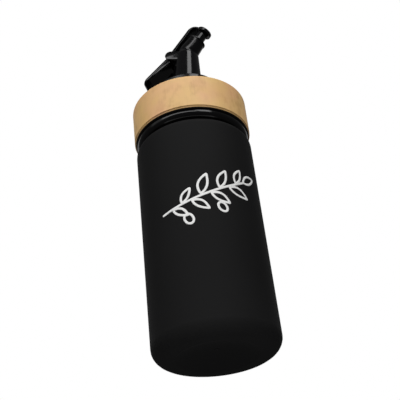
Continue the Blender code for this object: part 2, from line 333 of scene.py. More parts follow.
def close_tree(graph, geometry, material):
    """The end of each Geometry Nodes tree: real geometry that carries its material."""
    smooth = graph.add("GeometryNodeSetShadeSmooth", {0: geometry})
    real = graph.add("GeometryNodeRealizeInstances", {0: smooth})
    painted = graph.add("GeometryNodeSetMaterial", {0: real, "Material": material})
    graph.add("NodeGroupOutput", {0: painted})


def lathe_tree():
    """Turns a row of points, (radius, 0, height), round the Z axis."""
    sockets = (("Steps", "Int"), ("Material", "Material"))
    tree, graph, start = geometry_tree("Turned on a lathe", sockets)
    size = graph.add("GeometryNodeAttributeDomainSize", {0: start.outputs["Geometry"]})
    count = size.outputs["Point Count"]
    around = graph.math("ADD", start.outputs["Steps"], 1.0)
    grid = graph.add("GeometryNodeMeshGrid", {"Vertices X": around, "Vertices Y": count})
    index = graph.add("GeometryNodeInputIndex")
    turn = graph.math("FLOOR", graph.math("DIVIDE", graph.math("ADD", index, 0.5), count))
    place = graph.math("SUBTRACT", index, graph.math("MULTIPLY", turn, count))
    point = graph.add("GeometryNodeSampleIndex", {
        0: start.outputs["Geometry"],
        "Value": graph.add("GeometryNodeInputPosition"),
        "Index": place,
    }, data_type="FLOAT_VECTOR")
    profile = graph.add("ShaderNodeSeparateXYZ", {0: point})
    full = graph.math("MULTIPLY", turn, math.tau)
    bearing = graph.math("DIVIDE", full, start.outputs["Steps"])
    where = graph.add("ShaderNodeCombineXYZ", {
        "X": graph.math("MULTIPLY", profile.outputs["X"], graph.math("COSINE", bearing)),
        "Y": graph.math("MULTIPLY", profile.outputs["X"], graph.math("SINE", bearing)),
        "Z": profile.outputs["Z"],
    })
    shaped = graph.add("GeometryNodeSetPosition", {0: grid.outputs["Mesh"], "Position": where})
    merged = graph.add("GeometryNodeMergeByDistance", {0: shaped, "Distance": MERGE})
    close_tree(graph, merged, start.outputs["Material"])
    return tree


def sweep_tree():
    """Sweeps a circle along a line of points whose radius is in the attribute radius."""
    sockets = (("Steps", "Int"), ("Material", "Material"))
    tree, graph, start = geometry_tree("Swept round tube", sockets)
    line = graph.add("GeometryNodeMeshToCurve", {0: start.outputs["Geometry"]})
    radius = graph.add("GeometryNodeInputNamedAttribute", {"Name": "radius"}, data_type="FLOAT")
    circle = graph.add("GeometryNodeCurvePrimitiveCircle", {
        "Resolution": start.outputs["Steps"], "Radius": 1.0,
    })
    tube = graph.add("GeometryNodeCurveToMesh", {
        "Curve": line, "Profile Curve": circle, "Scale": radius, "Fill Caps": True,
    })
    close_tree(graph, tube, start.outputs["Material"])
    return tree


def sprig_tree():
    """Leaves along a stem, drawn as round strokes, pressed flat and wrapped on the bottle."""
    tree, graph, start = geometry_tree("Painted sprig", (
        ("Leaf", "Object"), ("Extras", "Object"), ("Leaves", "Int"), ("Leaf Length", "Float"),
        ("Spread", "Float"), ("Stroke", "Float"), ("Ink", "Float"), ("Bottle Radius", "Float"),
        ("Bearing", "Float"), ("Height", "Float"), ("Seed", "Int"), ("Material", "Material"),
    ))
    given = start.outputs
    stem = graph.add("GeometryNodeMeshToCurve", {0: given["Geometry"]})
    spots = graph.add("GeometryNodeCurveToPoints", {
        "Curve": stem, "Count": given["Leaves"],
    }, mode="COUNT")
    index = graph.add("GeometryNodeInputIndex")
    last = graph.math("SUBTRACT", given["Leaves"], 1.0)
    share = graph.math("DIVIDE", index, last)
    # The first spot stays bare, the last leaf follows the stem, and the rest alternate.
    has_leaf = graph.math("GREATER_THAN", index, 0.5)
    is_last = graph.math("GREATER_THAN", index, graph.math("SUBTRACT", last, 0.5))
    side = graph.rest(graph.math("MULTIPLY", graph.math("MODULO", index, 2.0), 2.0))
    side = graph.math("MULTIPLY", side, graph.rest(is_last))
    tangent = graph.add("ShaderNodeSeparateXYZ", {0: spots.outputs["Tangent"]})
    heading = graph.math("ARCTAN2", tangent.outputs["Y"], tangent.outputs["X"])
    jitter = graph.add("FunctionNodeRandomValue", {
        2: -0.10, 3: 0.10, "ID": index, "Seed": given["Seed"],
    }, data_type="FLOAT")
    spread = graph.math("MULTIPLY", side, given["Spread"])
    turn = graph.math("ADD", heading, graph.math("ADD", spread, jitter))
    # Leaves are largest in the middle of the stem.
    swell = graph.math("MULTIPLY", graph.math("SINE", graph.math("MULTIPLY", share, 2.6)), 0.30)
    relative = graph.math("ADD", swell, graph.math("ADD", 0.74, jitter))
    scale = graph.math("MULTIPLY", given["Leaf Length"], relative)
    leaf = graph.add("GeometryNodeObjectInfo", {"Object": given["Leaf"]})
    leaves = graph.add("GeometryNodeInstanceOnPoints", {
        "Points": spots.outputs["Points"],
        "Selection": has_leaf,
        "Instance": graph.add("GeometryNodeMeshToCurve", {0: leaf.outputs["Geometry"]}),
        "Rotation": graph.add("ShaderNodeCombineXYZ", {"Z": turn}),
        "Scale": graph.add("ShaderNodeCombineXYZ", {"X": scale, "Y": scale, "Z": scale}),
    })
    extras = graph.add("GeometryNodeObjectInfo", {"Object": given["Extras"]})
    lines = graph.join((
        stem, graph.add("GeometryNodeRealizeInstances", {0: leaves}),
        graph.add("GeometryNodeMeshToCurve", {0: extras.outputs["Geometry"]}),
    ))
    even = graph.add("GeometryNodeResampleCurve", {0: lines, "Length": 0.0004}, mode="LENGTH")
    half = graph.math("MULTIPLY", given["Stroke"], 0.5)
    wobble = graph.add("ShaderNodeTexNoise", {"Scale": 260.0, "Detail": 1.0})
    uneven = graph.math("ADD", 0.86, graph.math("MULTIPLY", wobble.outputs[0], 0.28))
    nib = graph.add("GeometryNodeCurvePrimitiveCircle", {"Resolution": 12, "Radius": 1.0})
    strokes = graph.add("GeometryNodeCurveToMesh", {
        "Curve": even, "Profile Curve": nib, "Scale": graph.math("MULTIPLY", half, uneven),
        "Fill Caps": True,
    })
    tips = graph.add("GeometryNodeCurveEndpointSelection", {"Start Size": 1, "End Size": 1})
    ball = graph.add("GeometryNodeMeshUVSphere", {"Segments": 16, "Rings": 10, "Radius": 1.0})
    ends = graph.add("GeometryNodeInstanceOnPoints", {
        "Points": even, "Selection": tips, "Instance": ball,
        "Scale": graph.math("MULTIPLY", half, 0.98),
    })
    drawn = graph.join((strokes, graph.add("GeometryNodeRealizeInstances", {0: ends})))
    flat = graph.add("ShaderNodeSeparateXYZ", {0: graph.add("GeometryNodeInputPosition")})
    press = graph.math("DIVIDE", given["Ink"], half)
    depth = graph.math("MULTIPLY", flat.outputs["Z"], press)
    reach = graph.math("ADD", given["Bottle Radius"], depth)
    around = graph.math("DIVIDE", flat.outputs["X"], given["Bottle Radius"])
    bearing = graph.math("ADD", given["Bearing"], around)
    away = graph.math("MULTIPLY", reach, graph.math("COSINE", bearing))
    where = graph.add("ShaderNodeCombineXYZ", {
        "X": graph.math("MULTIPLY", reach, graph.math("SINE", bearing)),
        "Y": graph.math("MULTIPLY", away, -1.0),
        "Z": graph.math("ADD", given["Height"], flat.outputs["Y"]),
    })
    wrapped = graph.add("GeometryNodeSetPosition", {0: drawn, "Position": where})
    close_tree(graph, wrapped, given["Material"])
    return tree


# Making meshes

def temporary(name, mesh):
    obj = bpy.data.objects.new(name, mesh)
    bpy.context.scene.collection.objects.link(obj)
    return obj


def baked(obj):
    """The object's evaluated mesh, closed and pointing outwards. The object is removed."""
    bpy.context.view_layer.update()
    graph = bpy.context.evaluated_depsgraph_get()
    mesh = bpy.data.meshes.new_from_object(obj.evaluated_get(graph), depsgraph=graph)
    mesh.transform(obj.matrix_world)
    bpy.data.objects.remove(obj)
    shape = bmesh.new()
    shape.from_mesh(mesh)
    bmesh.ops.remove_doubles(shape, verts=shape.verts, dist=MERGE)
    if not shape.faces or any(edge.is_boundary for edge in shape.edges):
        raise RuntimeError("The mesh " + mesh.name + " is empty or not closed")
    if shape.calc_volume(signed=True) < 0:
        bmesh.ops.reverse_faces(shape, faces=shape.faces)
    shape.to_mesh(mesh)
    shape.free()
    return mesh


def from_tree(name, mesh, tree, values):
    """Runs a Geometry Nodes tree on a mesh, with its inputs given by name."""
    obj = temporary(name, mesh)
    modifier = obj.modifiers.new(tree.name, "NODES")
    modifier.node_group = tree
    for item in tree.interface.items_tree:
        if item.item_type == "SOCKET" and item.in_out == "INPUT" and item.name in values:
            modifier[item.identifier] = values[item.name]
    return baked(obj)


def points_mesh(name, points, loop=False, radii=None):
    """A mesh of points joined in a row, with a radius for each where radii are given."""
    edges = [(i, i + 1) for i in range(len(points) - 1)]
    if loop:
        edges.append((len(points) - 1, 0))
    mesh = bpy.data.meshes.new(name)
    mesh.from_pydata([tuple(p) for p in points], edges, [])
    if radii:
        attribute = mesh.attributes.new("radius", "FLOAT", "POINT")
        attribute.data.foreach_set("value", radii)
    return mesh


def rounded(corners, closed=False):
    """Profile points from corners (across, up, rounding), with a support point by each arc."""
    points = []
    count = len(corners)
    for i, (across, up, rounding) in enumerate(corners):
        here = Vector((across, up))
        if not rounding or (not closed and i in (0, count - 1)):
            points.append(here)
            continue
        before = (Vector(corners[i - 1][:2]) - here).normalized()
        after = (Vector(corners[(i + 1) % count][:2]) - here).normalized()
        half = before.angle(after) / 2
        reach = rounding / math.tan(half)
        centre = here + (before + after).normalized() * (rounding / math.sin(half))
        first = here + before * reach - centre
        last = here + after * reach - centre
        sweep = math.atan2(first.x * last.y - first.y * last.x, first.dot(last))
        points.append(centre + first + before * EDGE_SUPPORT)
        for step in range(ARC_STEPS + 1):
            turn = Matrix.Rotation(sweep * step / ARC_STEPS, 2)
            points.append(centre + turn @ first)
        points.append(centre + last + after * EDGE_SUPPORT)
    if closed:
        points.append(points[0].copy())
    return points


def arc_points(centre, radius, start, end, count):
    angles = [math.radians(start + (end - start) * i / count) for i in range(count + 1)]
    return [(centre[0] + radius * math.cos(a), centre[1] + radius * math.sin(a)) for a in angles]


def turned(name, corners, material, closed=False, steps=TURN_STEPS):
    """A mesh turned about Z from rounded corners that run down its outer side."""
    profile = [(p.x, 0.0, p.y) for p in rounded(corners, closed)]
    mesh = points_mesh(name, profile)
    return from_tree(name, mesh, lathe_tree(), {"Steps": steps, "Material": material})


def slab(name, outline, low, high, bevel, material):
    """A plate from an outline in the XZ plane, between two places along Y, with round edges."""
    shape = bmesh.new()
    front = [shape.verts.new((x, low, z)) for x, z in outline]
    face = shape.faces.new(front)
    extruded = bmesh.ops.extrude_face_region(shape, geom=[face])
    moved = [v for v in extruded["geom"] if isinstance(v, bmesh.types.BMVert)]
    bmesh.ops.translate(shape, verts=moved, vec=(0.0, high - low, 0.0))
    bmesh.ops.recalc_face_normals(shape, faces=shape.faces)
    mesh = bpy.data.meshes.new(name)
    shape.to_mesh(mesh)
    shape.free()
    mesh.materials.append(material)
    obj = temporary(name, mesh)
    edges = obj.modifiers.new("Round edges", "BEVEL")
    edges.width = bevel
    edges.segments = BEVEL_STEPS
    edges.limit_method = "ANGLE"
    edges.angle_limit = BEVEL_FROM
    return baked(obj)


def placed(mesh, matrix):
    mesh.transform(matrix)
    return mesh


def united(name, meshes, cuts=()):
    """One closed mesh from several that overlap, less the ones in cuts. It is worked out large."""
    for mesh in (*meshes, *cuts):
        mesh.transform(Matrix.Scale(WORK_SCALE, 4))
    obj = temporary(name, meshes[0])
    others = [(mesh, "UNION") for mesh in meshes[1:]] + [(mesh, "DIFFERENCE") for mesh in cuts]
    helpers = []
    for mesh, operation in others:
        helper = temporary(name + "_part", mesh)
        helpers.append(helper)
        boolean = obj.modifiers.new(operation, "BOOLEAN")
        boolean.operation = operation
        boolean.solver = "EXACT"
        boolean.object = helper
    mesh = baked(obj)
    for helper in helpers:
        bpy.data.objects.remove(helper)
    mesh.transform(Matrix.Scale(1.0 / WORK_SCALE, 4))
    for polygon in mesh.polygons:
        polygon.use_smooth = True
    mesh.set_sharp_from_angle(angle=CREASE)
    return mesh


def finish_piece(name, mesh, body, node=None):
    """The finished piece: named, riding on its body and standing for its CAD node."""
    mesh.name = name
    obj = bpy.data.objects.new(name, mesh)
    bpy.context.scene.collection.objects.link(obj)
    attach(obj, body)
    if node:
        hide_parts(node)
    return obj


# Finishes

def new_finish(name):
    material = bpy.data.materials.new(name)
    material.use_nodes = True
    graph = Graph(material.node_tree)
    shader = material.node_tree.nodes["Principled BSDF"]
    place = graph.add("ShaderNodeTexCoord").outputs["Object"]
    return material, graph, shader, place


def dress(graph, shader, shade, rough, specular, relief, strength, depth):
    """Joins a finish's colour, roughness and fine relief to its shader."""
    graph.tree.links.new(shade, shader.inputs["Base Color"])
    graph.tree.links.new(rough.outputs[0], shader.inputs["Roughness"])
    shader.inputs["Specular IOR Level"].default_value = specular
    bump = graph.add("ShaderNodeBump", {"Strength": strength, "Distance": depth, "Height": relief})
    graph.tree.links.new(bump.outputs[0], shader.inputs["Normal"])


def tint(base, gain=1.0):
    return tuple(min(1.0, c * gain) for c in base) + (1.0,)


def ramp(graph, value, stops):
    node = graph.add("ShaderNodeValToRGB", {0: value})
    elements = node.color_ramp.elements
    while len(elements) < len(stops):
        elements.new(0.5)
    for element, (position, shade) in zip(elements, stops):
        element.position = position
        element.color = shade
    return node.outputs["Color"]


def mask(graph, value, low, high):
    """Nought below low, one above high and an even change between them."""
    return ramp(graph, value, ((low, tint((0.0, 0.0, 0.0))), (high, WHITE)))


def noise(graph, place, scale, detail=3.0, stretch=None, shift=None):
    if shift:
        place = graph.vector("ADD", place, shift)
    if stretch:
        place = graph.vector("MULTIPLY", place, stretch)
    inputs = {"Vector": place, "Scale": scale, "Detail": detail}
    return graph.add("ShaderNodeTexNoise", inputs).outputs[0]


def matte_coating(finish):
    """Soft matte coating with a fine orange peel and slight differences in sheen."""
    material, graph, shader, place = new_finish("matte_coating")
    cloud = noise(graph, place, 38.0, 4.0)
    grain = noise(graph, place, 2600.0, 2.0)
    peel = noise(graph, place, 950.0, 2.0)
    shade = ramp(graph, cloud, (
        (0.30, tint(finish.coating, 0.92)), (0.72, tint(finish.coating, 1.10)),
    ))
    sheen = graph.math("MULTIPLY_ADD", cloud, 0.10, finish.coating_rough - 0.05)
    rough = graph.math("MULTIPLY_ADD", grain, 0.05, sheen)
    dress(graph, shader, shade, rough, specular=0.10, relief=peel, strength=0.10, depth=0.00012)
    return material


def moulded_plastic(finish):
    """Glossy moulded plastic: slight flow ripples in its tone and relief, and fine rubbed marks in
    its roughness.
    """
    material, graph, shader, place = new_finish("moulded_plastic")
    flow = noise(graph, place, 90.0, 2.0)
    rub = noise(graph, place, 900.0, 4.0, stretch=(1.0, 1.0, 0.15))
    shade = ramp(graph, flow, (
        (0.30, tint(finish.plastic, 0.85)), (0.75, tint(finish.plastic, 1.25)),
    ))
    rough = graph.math("MULTIPLY_ADD", rub, 0.10, finish.plastic_rough - 0.05)
    dress(graph, shader, shade, rough, specular=0.22, relief=flow, strength=0.12, depth=0.0004)
    return material


def bamboo_wood(finish):
    """Bamboo laid up in upright strips, with fine fibres and soft patches, and painted shade along
    its foot and on its lower face.
    """
    material, graph, shader, place = new_finish("bamboo_wood")
    turn = (0.0, 0.0, GRAIN_TURN)
    laid = graph.add("ShaderNodeMapping", {"Vector": place, "Rotation": turn})
    axes = graph.add("ShaderNodeSeparateXYZ", {0: laid})
    strip = graph.math("FLOOR", graph.math("DIVIDE", axes.outputs["X"], STRIP_WIDTH))
    layer = graph.math("FLOOR", graph.math("DIVIDE", axes.outputs["Y"], STRIP_DEPTH))
    cell = graph.add("ShaderNodeCombineXYZ", {"X": strip, "Y": layer})
    tone = graph.add("ShaderNodeTexWhiteNoise", {"Vector": cell}, noise_dimensions="2D")
    fibres = noise(graph, laid, 1500.0, 3.0, stretch=(1.0, 1.0, 0.035))
    streaks = noise(graph, laid, 420.0, 3.0, stretch=(1.0, 1.0, 0.05))
    patches = noise(graph, place, 62.0, 2.0)
    mottle = noise(graph, place, 300.0, 2.0, stretch=(1.0, 1.0, 0.7), shift=(0.11, 0.05, 0.37))
    value = graph.math("MULTIPLY_ADD", tone.outputs["Value"], 0.08, -0.19)
    for pattern, share in ((mottle, 0.40), (fibres, 0.18), (streaks, 0.12), (patches, 0.84)):
        value = graph.math("MULTIPLY_ADD", pattern, share, value)
    shade = ramp(graph, value, (
        (0.36, tint(finish.bamboo_dark)), (0.60, tint(finish.bamboo_light)),
        (0.86, tint(finish.bamboo_light, 1.10)),
    ))
    blush = noise(graph, place, 48.0, 1.0, shift=(0.31, 0.17, 0.05))
    blush = graph.math("MULTIPLY", mask(graph, blush, 0.44, 0.66), 0.55)
    shade = graph.mix(blush, shade, tint(finish.bamboo_warm))
    gold = noise(graph, place, 70.0, 1.0, shift=(0.07, 0.43, 0.21))
    gold = graph.math("MULTIPLY", mask(graph, gold, 0.50, 0.70), 0.50)
    shade = graph.mix(gold, shade, tint(finish.bamboo_gold))
    height = axes.outputs["Z"]
    # Painted shade: the lowest 1.3 mm of the ring, its foot lip, is darkened towards a dark brown.
    foot = graph.math("MULTIPLY", graph.below(height, RING[0].z + 0.0013, 1400.0), 0.38)
    shade = graph.mix(foot, shade, tint(finish.bamboo_foot))
    # Painted shade: the ring's lower face is made almost black, as if in deep shadow.
    under = graph.below(height, RING[0].z + 0.0002, 9000.0)
    shade = graph.mix(under, shade, tint(finish.bamboo_under))
    rough = graph.math("MULTIPLY_ADD", streaks, 0.18, 0.46)
    relief = graph.math("MULTIPLY_ADD", streaks, 0.6, fibres)
    dress(graph, shader, shade, rough, specular=0.35, relief=relief, strength=0.22, depth=0.0001)
    return material


def painted_ink(finish):
    """Slightly uneven white ink."""
    material, graph, shader, place = new_finish("painted_ink")
    cover = noise(graph, place, 700.0, 3.0)
    shade = ramp(graph, cover, ((0.25, tint(finish.ink, 0.90)), (0.60, tint(finish.ink))))
    rough = graph.math("MULTIPLY_ADD", cover, 0.15, 0.45)
    dress(graph, shader, shade, rough, specular=0.30, relief=cover, strength=0.10, depth=0.00005)
    return material


def finish_of(maker):
    """A finish, which its maker makes the first time that it is asked for."""
    return bpy.data.materials.get(maker.__name__) or maker(bpy.context.scene.cruet_finish)


def plastic():
    return finish_of(moulded_plastic)


# Operators

class CRUET_OT_bottle(Operator):
    """Make the coated bottle"""
    bl_idname = "cruet.bottle"
    bl_label = "Bottle"

    def execute(self, context):
        s = context.scene.cruet_bottle
        corners = [
            (0.0, s.top, 0.0), (s.radius, s.top, s.shoulder), (s.radius, FOOT_GAP, s.heel),
            (s.ring_inner, FOOT_GAP, 0.0012),
        ]
        for share in (0.86, 0.72, 0.56, 0.40, 0.26):
            corners.append((s.ring_inner * share, s.dish * (1 - share * share), 0.0))
        rim = s.dish * 0.99
        pit = rim + 0.0007
        corners += [(s.mark, rim, 0.0002), (s.mark * 0.6, pit, 0.0003), (0.0, pit, 0.0)]
        mesh = turned("bottle", corners, finish_of(matte_coating))
        finish_piece("coated_bottle", mesh, BODY_BOTTLE, "bottle_body")
        return {"FINISHED"}


class CRUET_OT_lid(Operator):
    """Make the black lid: bead, core and turret"""
    bl_idname = "cruet.lid"
    bl_label = "Lid"

    def execute(self, context):
        s = context.scene.cruet_lid
        rise = math.degrees(math.asin((s.collar_top - s.bead_height) / s.bead_radius))
        corners = [
            (0.0, s.turret_top, 0.0),
            (s.turret_radius, s.turret_top, 0.0008),
            (s.turret_radius, s.core_top, 0.0024),
            (s.core_radius - 0.0009, s.core_top, 0.0003),
            (s.core_radius, s.core_top - 0.0009, 0.0003),
            (s.core_radius, s.collar_top, 0.0),
        ]
        centre = (s.bead_reach, s.bead_height)
        bead = arc_points(centre, s.bead_radius, rise, -90.0, BEAD_STEPS)
        corners += [(across, up, 0.0) for across, up in bead]
        low = LID[0].z
        corners += [(s.foot_radius, low, 0.0), (0.0, low, 0.0)]
        mesh = turned("lid", corners, plastic())
        finish_piece("black_lid", mesh, BODY_BOTTLE, "lid_core")
        return {"FINISHED"}


class CRUET_OT_ring(Operator):
    """Make the bamboo ring"""
    bl_idname = "cruet.ring"
    bl_label = "Bamboo ring"

    def execute(self, context):
        s = context.scene.cruet_ring
        lip_top = s.bottom + s.lip
        groove_top = lip_top + s.groove
        corners = [
            (s.bore, s.top, 0.0004),
            (s.radius, s.top, 0.0006),
            (s.radius, groove_top, 0.00025),
            (s.radius - s.groove * 1.6, groove_top - s.groove * 0.5, 0.0001),
            (s.radius - s.groove * 1.0, lip_top - s.groove * 0.2, 0.00015),
            (s.radius - s.groove * 1.4, s.bottom, 0.0004),
            (s.bore, s.bottom, 0.0003),
        ]
        mesh = turned("ring", corners, finish_of(bamboo_wood), closed=True)
        finish_piece("bamboo_lid_ring", mesh, BODY_BOTTLE, "bamboo_ring")
        return {"FINISHED"}


def off_axis(origin, lean, forward, outward):
    """A point (x, z) at a distance along a line leaning from the vertical, and off it to +X."""
    x = origin[0] + forward * math.sin(lean) + outward * math.cos(lean)
    z = origin[1] + forward * math.cos(lean) - outward * math.sin(lean)
    return x, z


def nozzle_frame(s, outward=0.0):
    x, z = off_axis((s.bend_x, s.bend_z), s.nozzle_lean, 0.0, outward)
    return Matrix.Translation((x, 0.0, z)) @ Matrix.Rotation(s.nozzle_lean, 4, "Y")


def hinge():
    return Vector(frame["joints"][0]["pos_m"])


def tube_sections(s):
    """Centres and radii of the pourer's round sections, from the disc to the nozzle's mouth."""
    sink = 0.0004
    flare = 0.0011
    foot = Vector((0.0, 0.0, s.disc_bottom + s.disc_thickness - sink))
    bend = Vector((s.bend_x, 0.0, s.bend_z))
    tube = (bend - foot).normalized()
    nozzle = Vector((math.sin(s.nozzle_lean), 0.0, math.cos(s.nozzle_lean)))
    half = tube.angle(nozzle) / 2
    reach = s.bend_round * math.tan(half)
    rise = (bend - foot).length - reach
    sections = []
    for i in range(7):
        turn = math.radians(15.0 * i)
        up = flare * (1 - math.cos(turn))
        out = flare * (1 - math.sin(turn))
        sections.append((foot + tube * (sink + up), s.foot_radius + out))
    taper = s.neck_radius - s.foot_radius
    for share in (0.15, 0.35, 0.55, 0.75, 0.88, 0.95):
        sections.append((foot + tube * (rise * share), s.foot_radius + taper * share))
    centre = bend + (nozzle - tube).normalized() * (s.bend_round / math.cos(half))
    first = bend - tube * reach - centre
    for i in range(BEND_STEPS + 1):
        share = i / BEND_STEPS
        spin = Matrix.Rotation(2 * half * share, 3, "Y")
        # The tube has narrowed to the sleeve a little past the middle of the bend.
        ease = min(1.0, share / 0.55)
        ease = ease * ease * (3 - 2 * ease)
        radius = s.neck_radius + (s.sleeve_start - s.neck_radius) * ease
        sections.append((centre + spin @ first, radius))
    lip = s.sleeve_length - 0.0010
    ahead = []
    for share in (0.25, 0.5, 0.75, 1.0):
        along = reach + (lip - 0.0004 - reach) * share
        ahead.append((along, s.sleeve_start + (s.sleeve_end - s.sleeve_start) * share))
    # The drip lip, the step down from it, and the tip with its rounded end.
    ahead += [
        (lip, s.sleeve_end),
        (lip + 0.00005, s.lip_radius - 0.00008),
        (lip + 0.00020, s.lip_radius),
        (s.sleeve_length - 0.00025, s.lip_radius),
        (s.sleeve_length - 0.00008, s.lip_radius - 0.00008),
        (s.sleeve_length, s.lip_radius - 0.00026),
        (s.sleeve_length + 0.00005, s.tip_radius + 0.00030),
        (s.sleeve_length + 0.00012, s.tip_radius + 0.00010),
        (s.sleeve_length + 0.00035, s.tip_radius),
        (s.tip_length - 0.00040, s.tip_radius),
        (s.tip_length - 0.00012, s.tip_radius - 0.00010),
        (s.tip_length, s.tip_radius - 0.00035),
    ]
    return sections + [(bend + nozzle * along, radius) for along, radius in ahead]


def nozzle_mouth(s, black):
    """The bore that is cut into the nozzle's tip."""
    top = s.tip_length + 0.001
    low = s.tip_length - s.mouth_depth
    bore = turned("mouth", [
        (0.0, top, 0.0), (s.mouth_radius, top, 0.0), (s.mouth_radius, low, 0.0005), (0.0, low, 0.0),
    ], black, steps=64)
    return placed(bore, nozzle_frame(s))


def pourer_ears(s, black):
    """Two ears beside the hinge: round about it, and straight where they run into the tube."""
    pivot = hinge()
    at = (pivot.x, pivot.z)
    lean = math.radians(90.0) + s.ear_droop
    outline = []
    for i in range(EAR_STEPS + 1):
        a = math.pi * i / EAR_STEPS
        outline.append(off_axis(at, lean, -s.ear_radius * math.sin(a), s.ear_radius * math.cos(a)))
    for side in (-s.ear_radius, s.ear_radius):
        outline.append(off_axis(at, lean, EAR_REACH, side))
    faces = ((-s.ear_outer, -s.ear_inner), (s.ear_inner, s.ear_outer))
    return [slab("ear", outline, low, high, 0.0002, black) for low, high in faces]


def ear_sockets(s, radius, black):
    """The blind bores in the ears, in which the lever's stubs turn."""
    depth = 0.0030
    start = s.ear_inner - 0.0014
    bores = []
    for side in (-1, 1):
        bore = turned("socket", [
            (0.0, depth, 0.0), (radius, depth, 0.0), (radius, 0.0, 0.0), (0.0, 0.0, 0.0),
        ], black, steps=32)
        turn = Matrix.Rotation(math.radians(-90.0 * side), 4, "X")
        away = Vector((0.0, side * start, 0.0))
        bores.append(placed(bore, Matrix.Translation(hinge() + away) @ turn))
    return bores


class CRUET_OT_pourer(Operator):
    """Make the pour spout: disc, leaning tube, nozzle and ears"""
    bl_idname = "cruet.pourer"
    bl_label = "Pour spout"

    def execute(self, context):
        s = context.scene.cruet_pourer
        black = plastic()
        disc_top = s.disc_bottom + s.disc_thickness
        disc = turned("disc", [
            (0.0, disc_top, 0.0), (s.disc_radius, disc_top, 0.0005),
            (s.disc_radius, s.disc_bottom, 0.0003), (0.0, s.disc_bottom, 0.0),
        ], black)
        sections = tube_sections(s)
        line = points_mesh("tube", [p for p, _ in sections], radii=[r for _, r in sections])
        tube = from_tree("tube", line, sweep_tree(), {"Steps": 96, "Material": black})
        mouth = nozzle_mouth(s, black)
        ears = pourer_ears(s, black)
        sockets = ear_sockets(s, context.scene.cruet_lever.stub_radius + STUB_ROOM, black)
        mesh = united("pourer", [tube, disc, *ears], [mouth, *sockets])
        finish_piece("moulded_pour_spout", mesh, BODY_BOTTLE, "pour_spout")
        return {"FINISHED"}


def lever_arm(s, nozzle, black):
    """The arm: straight behind the nozzle, and bent over its tip."""
    bend = (nozzle.bend_x, nozzle.bend_z)
    lean = nozzle.nozzle_lean
    pivot = hinge()
    tip = nozzle.tip_length + CAP_GAP
    top = tip + s.arm_top - 0.00003
    under = tip + 0.00045
    inner = s.arm_outer - s.arm_thickness
    corner = s.arm_corner
    fillet = corner - s.arm_thickness
    pivot_up = (pivot.x - bend[0]) * math.sin(lean) + (pivot.z - bend[1]) * math.cos(lean)
    low = pivot_up - s.hub_radius * 0.6
    side = [(-s.arm_outer, low)]
    side += arc_points((-(s.arm_outer - corner), top - corner), corner, 180, 90, 18)
    side += [(0.0, top), (0.0, under)]
    side += arc_points((-(inner - fillet), under - fillet), fillet, 90, 180, 12)
    side += [(-inner, low)]
    outline = [off_axis(bend, lean, up, across) for across, up in side]
    return slab("arm", outline, -s.arm_half_width, s.arm_half_width, 0.00028, black)


def lever_cap(s, nozzle, black):
    """The cap over the nozzle's mouth, with a thin rim round its underside."""
    low = nozzle.tip_length + CAP_GAP
    top = low + s.cap_thickness
    under = low + 0.0002
    cap = turned("cap", [
        (0.0, top, 0.0), (s.cap_radius, top, 0.0006), (s.cap_radius, low, 0.0003),
        (s.cap_radius - 0.0007, low, 0.0001), (s.cap_radius - 0.0009, under, 0.0001),
        (0.0, under, 0.0),
    ], black, steps=96)
    return placed(cap, nozzle_frame(nozzle, s.cap_offset))


def tab_point(s, distance, depth):
    """A point (x, z) at a distance from the hinge along the thumb tab, and a depth under it."""
    pivot = hinge()
    x = pivot.x - distance * math.sin(s.tab_lean) + depth * math.cos(s.tab_lean)
    z = pivot.z - distance * math.cos(s.tab_lean) - depth * math.sin(s.tab_lean)
    return x, z


def lever_neck(s, nozzle, black):
    """The wedge that joins the arm, the hub and the thumb tab."""
    bend = (nozzle.bend_x, nozzle.bend_z)
    outline = [off_axis(bend, nozzle.nozzle_lean, -0.0060, 0.0003 - s.arm_outer)]
    outline += [tab_point(s, distance, depth) for distance, depth in (
        (0.0010, -0.0020), (0.0085, s.tab_drop + 0.0003),
        (0.0085, s.tab_drop + s.tab_thickness - 0.0004), (0.0062, 0.0025),
        (0.0006, 0.0013), (-0.0011, 0.0003),
    )]
    half = s.arm_half_width - 0.0002
    return slab("neck", outline, -half, half, 0.00025, black)


def lever_tab(s, black):
    """The thumb tab with its rounded end, laid in its place."""
    corner = (s.tab_length - s.tab_corner, s.tab_half_width - s.tab_corner)
    root = 0.0008
    board = arc_points((s.tab_start + root, s.tab_half_width - root), root, 180, 90, 5)
    board += arc_points(corner, s.tab_corner, 90, 0, 14)
    board += [(u, -v) for u, v in reversed(board)]
    tab = slab("tab", board, s.tab_drop, s.tab_drop + s.tab_thickness, 0.0002, black)
    down = Vector((-math.sin(s.tab_lean), 0.0, -math.cos(s.tab_lean)))
    under = Vector((math.cos(s.tab_lean), 0.0, -math.sin(s.tab_lean)))
    axes = Matrix((down, under, down.cross(under))).transposed().to_4x4()
    return placed(tab, Matrix.Translation(hinge()) @ axes)


def lever_ribs(s, black):
    """Two ribs along the edges of the tab's underside."""
    root = s.tab_start + 0.0004
    end = s.tab_start + 0.0172
    buried = s.tab_drop + 0.0006
    face = s.tab_drop + s.tab_thickness
    outline = [
        tab_point(s, root, buried), tab_point(s, end, buried),
        tab_point(s, end, face + 0.0002), tab_point(s, root, face + s.rib_depth),
    ]
    edge = s.tab_half_width - 0.0003
    inner = edge - RIB_WIDTH
    sides = ((-edge, -inner), (inner, edge))
    return [slab("rib", outline, low, high, 0.0003, black) for low, high in sides]


def lever_pin(radius, reach, edge, black):
    """A round pin across the hinge, which reaches equally far to both sides."""
    pin = turned("pin", [
        (0.0, reach, 0.0), (radius, reach, edge), (radius, -reach, edge), (0.0, -reach, 0.0),
    ], black, steps=48)
    across = Matrix.Rotation(math.radians(90.0), 4, "X")
    return placed(pin, Matrix.Translation(hinge()) @ across)


